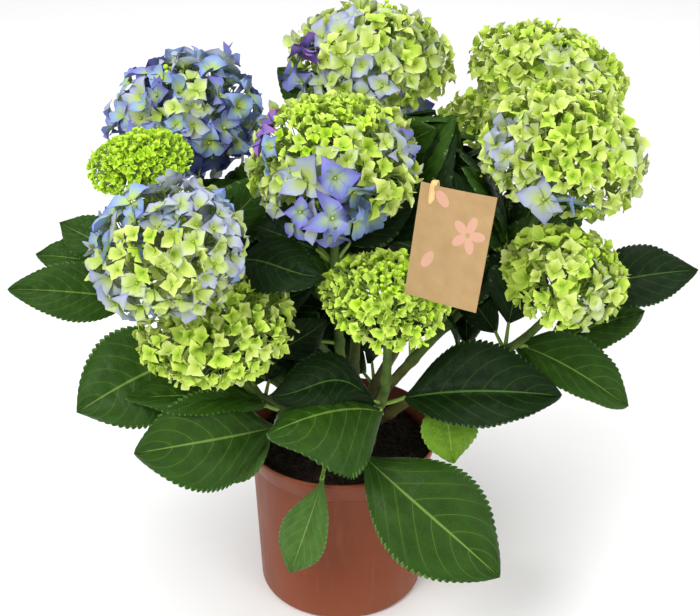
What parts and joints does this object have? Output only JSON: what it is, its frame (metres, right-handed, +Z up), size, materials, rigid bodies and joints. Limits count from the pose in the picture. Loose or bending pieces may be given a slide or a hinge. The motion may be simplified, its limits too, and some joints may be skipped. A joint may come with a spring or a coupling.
{
  "type": "potted hydrangea shrub",
  "caption": "Potted mophead hydrangea shrub: domed blue, lilac and lime flower heads on green stems over broad toothed leaves, in a round plastic pot with a hanging kraft card.",
  "frame": {"origin": "centre of the pot's flat underside", "axes": "+Z up along the pot's axis, -Y towards the front of the plant, where the card hangs, +X to the right as seen from the front"},
  "size_m": [0.6286, 0.4966, 0.5567],
  "materials": {
    "pot_plastic": "satin",
    "peat_soil": "matte",
    "woody_bark": "matte",
    "green_stem": "satin",
    "leaf_green": "satin",
    "leaf_fresh": "satin",
    "bloom_blue": "matte",
    "bloom_lilac": "matte",
    "bloom_lime": "matte",
    "kraft_card": "matte",
    "peg_wood": "matte"
  },
  "bodies": {
    "root": {"card": "kraft_card", "card_peg": "peg_wood", "crown_base": "woody_bark", "foliage_back_left": "leaf_green", "foliage_back_low": "leaf_green", "foliage_back_middle": "leaf_green", "foliage_back_right": "leaf_green", "foliage_left_lower": "leaf_green", "foliage_left_upper": "leaf_green", "foliage_middle_heart": "leaf_green", "foliage_middle_right": "leaf_green", "foliage_middle_upper": "leaf_green", "foliage_right_lower": "leaf_green", "foliage_right_upper": "leaf_green", "head_back_left": "bloom_lilac", "head_back_middle": "bloom_blue", "head_back_right": "bloom_lime", "head_centre": "bloom_lilac", "head_centre_low": "bloom_lime", "head_left": "bloom_lilac", "head_left_back": "bloom_blue", "head_left_bud": "bloom_lime", "head_left_front": "bloom_lime", "head_right": "bloom_lime", "head_right_back": "bloom_lime", "head_right_low": "bloom_lime", "head_top_back": "bloom_lime", "leaf_centre_dark": "leaf_green", "leaf_far_left": "leaf_green", "leaf_far_right": "leaf_green", "leaf_front_centre": "leaf_green", "leaf_left_low": "leaf_green", "leaf_left_middle": "leaf_green", "leaf_left_thin": "leaf_green", "leaf_left_upper": "leaf_green", "leaf_lime_low": "leaf_fresh", "leaf_over_pot": "leaf_green", "leaf_quilted": "leaf_green", "leaf_right_folded": "leaf_green", "leaf_right_long": "leaf_green", "leaf_right_mid": "leaf_green", "leaf_small_low": "leaf_green", "leaf_spoon": "leaf_green", "leaf_top_gap": "leaf_green", "leaf_under_centre": "leaf_green", "pot": "pot_plastic", "soil": "peat_soil", "stem_back_left": "green_stem", "stem_back_middle": "green_stem", "stem_back_right": "green_stem", "stem_centre": "green_stem", "stem_centre_low": "green_stem", "stem_left": "green_stem", "stem_left_back": "green_stem", "stem_left_bud": "green_stem", "stem_left_front": "green_stem", "stem_right": "green_stem", "stem_right_back": "green_stem", "stem_right_low": "green_stem", "stem_top_back": "green_stem"}
  },
  "joints": []
}
